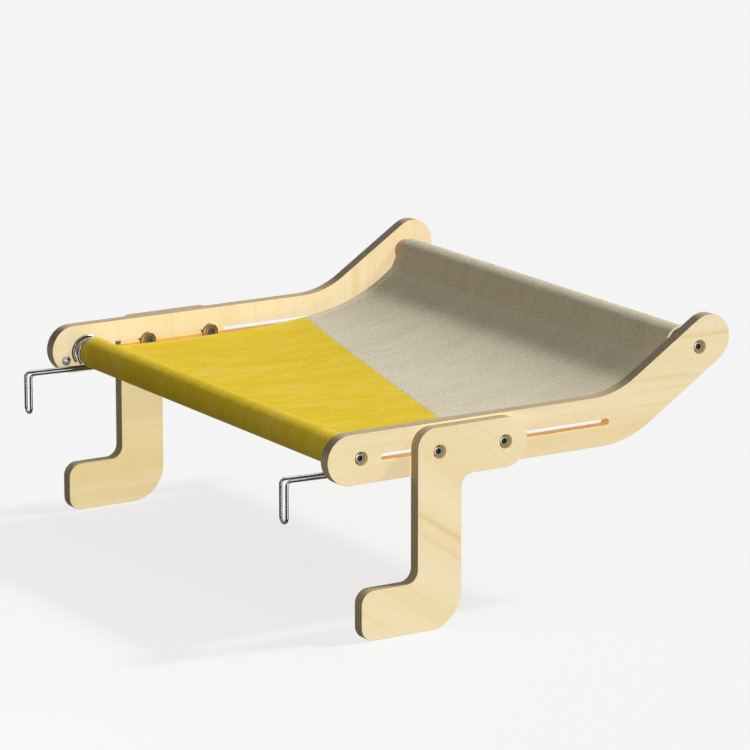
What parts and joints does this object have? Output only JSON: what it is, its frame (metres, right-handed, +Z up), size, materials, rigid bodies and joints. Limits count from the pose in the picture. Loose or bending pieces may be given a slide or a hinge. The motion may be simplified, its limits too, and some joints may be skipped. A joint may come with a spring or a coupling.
{
  "type": "hanging cat bed",
  "caption": "Cloth bed stretched over dowels between slotted plywood sides, with sliding brackets and wire hooks that grip a board or window sill.",
  "frame": {"origin": "mid-width, straight below the front dowel's axis, on the plane of the side panels' undersides, which lies on top of the board that the bed hangs on", "axes": "+X from the hooks at the front to the upturned rear end, +Y to the left side, +Z up"},
  "size_m": [0.4706, 0.5486, 0.2523],
  "materials": {
    "plywood": "pale birch plywood, fine sanded, satin clear coat, grey-brown laminated edges",
    "dowel_wood": "brown wood, sanded",
    "yellow_cloth": "matt tight weave",
    "grey_cloth": "matt tight weave",
    "bright_steel": "bright nickel plate",
    "zinc": "zinc plate",
    "dark_nut": "dark nickel plate, semi-gloss"
  },
  "bodies": {
    "frame": {"front_cloth": "yellow_cloth", "rear_cloth": "grey_cloth", "front_dowel": "dowel_wood", "rear_dowel": "dowel_wood", "left_side_panel": "plywood", "left_front_dowel_washer": "zinc", "left_front_dowel_bolt": "bright_steel", "left_front_dowel_insert": "zinc", "left_rear_dowel_washer": "zinc", "left_rear_dowel_bolt": "bright_steel", "left_rear_dowel_insert": "zinc", "left_stop_screw": "bright_steel", "right_side_panel": "plywood", "right_front_dowel_washer": "zinc", "right_front_dowel_bolt": "bright_steel", "right_front_dowel_insert": "zinc", "right_rear_dowel_washer": "zinc", "right_rear_dowel_bolt": "bright_steel", "right_rear_dowel_insert": "zinc", "right_stop_screw": "bright_steel"},
    "left_clamp": {"left_bracket": "plywood", "left_front_bracket_washer": "zinc", "left_front_bracket_bolt": "bright_steel", "left_front_bracket_nut": "dark_nut", "left_rear_bracket_washer": "zinc", "left_rear_bracket_bolt": "bright_steel", "left_rear_bracket_nut": "dark_nut"},
    "right_clamp": {"right_bracket": "plywood", "right_front_bracket_washer": "zinc", "right_front_bracket_bolt": "bright_steel", "right_front_bracket_nut": "dark_nut", "right_rear_bracket_washer": "zinc", "right_rear_bracket_bolt": "bright_steel", "right_rear_bracket_nut": "dark_nut"},
    "left_hook_wire": {"left_hook": "bright_steel"},
    "right_hook_wire": {"right_hook": "bright_steel"}
  },
  "joints": [
    {"name": "left_bracket_slide", "type": "slide", "parent": "frame", "child": "left_clamp", "axis": [1, 0, 0], "range_m": [-0.0435, 0.1225]},
    {"name": "right_bracket_slide", "type": "slide", "parent": "frame", "child": "right_clamp", "axis": [1, 0, 0], "range_m": [-0.048, 0.118]},
    {"name": "left_hook_hinge", "type": "hinge", "parent": "frame", "child": "left_hook_wire", "pos_m": [0, 0.2403, 0.02115], "axis": [0, 1, 0], "range_deg": [-90, 0]},
    {"name": "right_hook_hinge", "type": "hinge", "parent": "frame", "child": "right_hook_wire", "pos_m": [0, -0.2403, 0.02115], "axis": [0, 1, 0], "range_deg": [-90, 0]}
  ]
}
